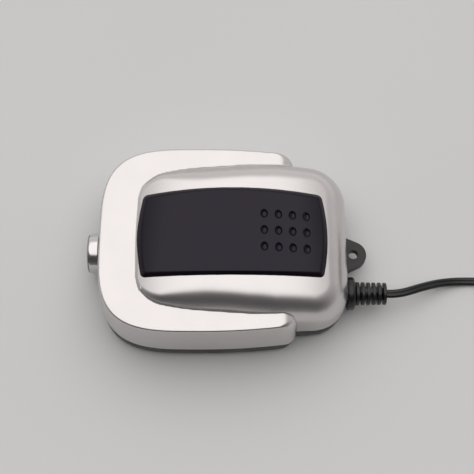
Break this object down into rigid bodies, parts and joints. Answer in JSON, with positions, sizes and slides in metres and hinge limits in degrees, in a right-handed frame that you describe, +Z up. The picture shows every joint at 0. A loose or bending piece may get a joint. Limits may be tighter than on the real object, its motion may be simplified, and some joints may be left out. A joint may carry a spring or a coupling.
{
  "type": "aquarium air pump",
  "caption": "Quiet twin-outlet aquarium air pump: a silver horseshoe case round an arched dome with a black inlay, a flow knob at one end and a hanging tab and mains lead at the other.",
  "frame": {"origin": "middle of the pump's own box in plan (the free lead, its coil and plug left out), on the surface that the feet stand on", "axes": "+Z up; +X along the pump's length, from the regulator knob's end to the end with the hanging tab and the lead; +Y towards the back in the main view"},
  "size_m": [0.3806, 0.1416, 0.0568],
  "materials": {
    "silver_paint": "satin silver paint on a plastic moulding",
    "silver_knob": "satin silver plating",
    "black_case": "fine matt texture",
    "black_gloss": "polished",
    "black_inner": "as moulded",
    "white_plastic": "as moulded",
    "felt": "felt",
    "steel": "zinc plated",
    "core_steel": "stacked sheet",
    "copper": "enamelled wire",
    "magnet": "ferrite, matt",
    "rubber": "matt",
    "silicone": "clear silicone hose",
    "cord_black": "smooth PVC",
    "tie_white": "as moulded",
    "pin_brass": "nickel plated"
  },
  "bodies": {
    "housing": {"lower_case": "black_case", "upper_case": "silver_paint", "top_panel": "black_gloss", "case_screws": "steel", "rubber_feet": "rubber", "filter_cover": "black_case", "filter_felt": "felt", "valve_body": "white_plastic", "outlet_nozzle_back": "white_plastic", "outlet_nozzle_front": "white_plastic", "core_laminations": "core_steel", "coil_bobbin": "white_plastic", "coil_winding": "copper", "core_screws": "steel", "core_bushes": "rubber", "pivot_pin_back": "steel", "pivot_pin_front": "steel", "pivot_bush_back": "rubber", "pivot_bush_front": "rubber", "pivot_clip_back": "steel", "pivot_clip_front": "steel", "diaphragm_back": "rubber", "diaphragm_front": "rubber", "clamp_ring_back": "white_plastic", "clamp_ring_front": "white_plastic", "pump_head_back": "white_plastic", "pump_head_front": "white_plastic", "inlet_flap_back": "rubber", "inlet_flap_front": "rubber", "outlet_flap_back": "rubber", "outlet_flap_front": "rubber", "head_cover_back": "black_inner", "head_cover_front": "black_inner", "head_screws": "steel", "air_hose_back": "silicone", "air_hose_front": "silicone", "cord_clamp": "black_inner", "clamp_screws": "steel", "lead_wires": "copper", "crimp_connectors": "white_plastic", "strain_relief": "cord_black", "cord_inner_end": "cord_black", "mains_cord": "cord_black", "cord_coil": "cord_black", "coil_tie": "tie_white", "plug_lead": "cord_black", "plug_body": "cord_black", "plug_pins": "pin_brass"},
    "regulator": {"regulator_knob": "silver_knob", "valve_spindle": "white_plastic", "spindle_o_ring": "rubber", "spindle_clip": "steel"},
    "arm_back": {"swing_arm_back": "black_inner", "magnet_back": "magnet", "diaphragm_screw_back": "steel"},
    "arm_front": {"swing_arm_front": "black_inner", "magnet_front": "magnet", "diaphragm_screw_front": "steel"}
  },
  "joints": [
    {"name": "regulator_turn", "type": "hinge", "parent": "housing", "child": "regulator", "pos_m": [-0.08, 0, 0.0165], "axis": [-1, 0, 0], "range_deg": [0, 270]},
    {"name": "arm_back_swing", "type": "hinge", "parent": "housing", "child": "arm_back", "pos_m": [0.046, 0.024, 0.024], "axis": [0, 0, 1], "range_deg": [-1.2, 1.2], "stiffness_Nm_per_rad": 1.1, "deforming": ["diaphragm_back"]},
    {"name": "arm_front_swing", "type": "hinge", "parent": "housing", "child": "arm_front", "pos_m": [0.046, -0.024, 0.024], "axis": [0, 0, 1], "range_deg": [-1.2, 1.2], "stiffness_Nm_per_rad": 1.1, "deforming": ["diaphragm_front"]}
  ],
  "couplings": [
    {"joint": "arm_front_swing", "follows": "arm_back_swing", "ratio": -1}
  ]
}
